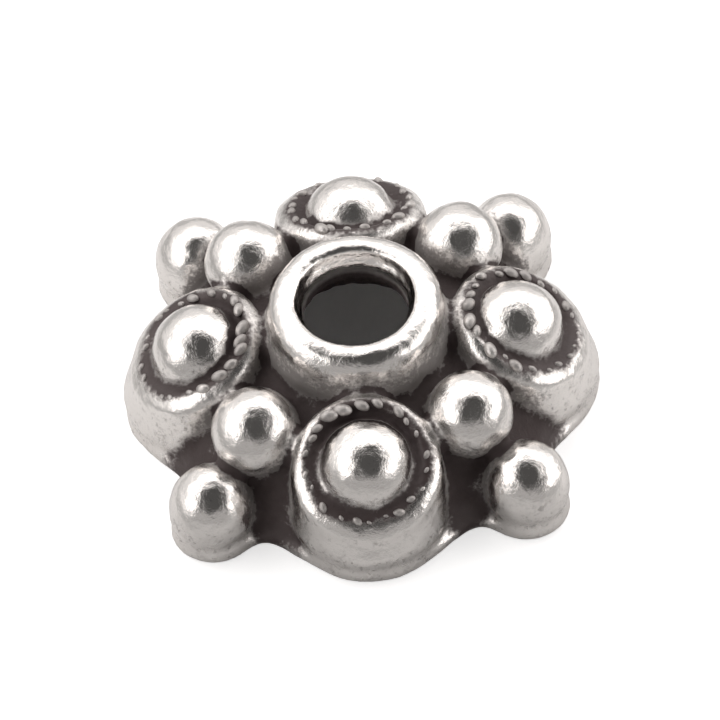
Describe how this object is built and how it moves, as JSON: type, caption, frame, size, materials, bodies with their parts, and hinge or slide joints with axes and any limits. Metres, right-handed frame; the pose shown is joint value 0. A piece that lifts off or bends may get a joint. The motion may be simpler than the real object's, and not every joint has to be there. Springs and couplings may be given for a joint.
{
  "type": "bead cap",
  "caption": "Domed flower bead cap in antique silver: ball-centred petal cups and granules round a raised collar, over a round bowl.",
  "frame": {"origin": "centre of the rim's plane, on the cap's axis", "axes": "+Z along the axis from the rim to the collar, with the petals on the X and Y axes"},
  "size_m": [0.0082, 0.0082, 0.0028],
  "materials": {
    "antique_silver": "polished high spots, satin walls and black patina in the recesses"
  },
  "bodies": {
    "root": {"bead_cap": "antique_silver"}
  },
  "joints": []
}
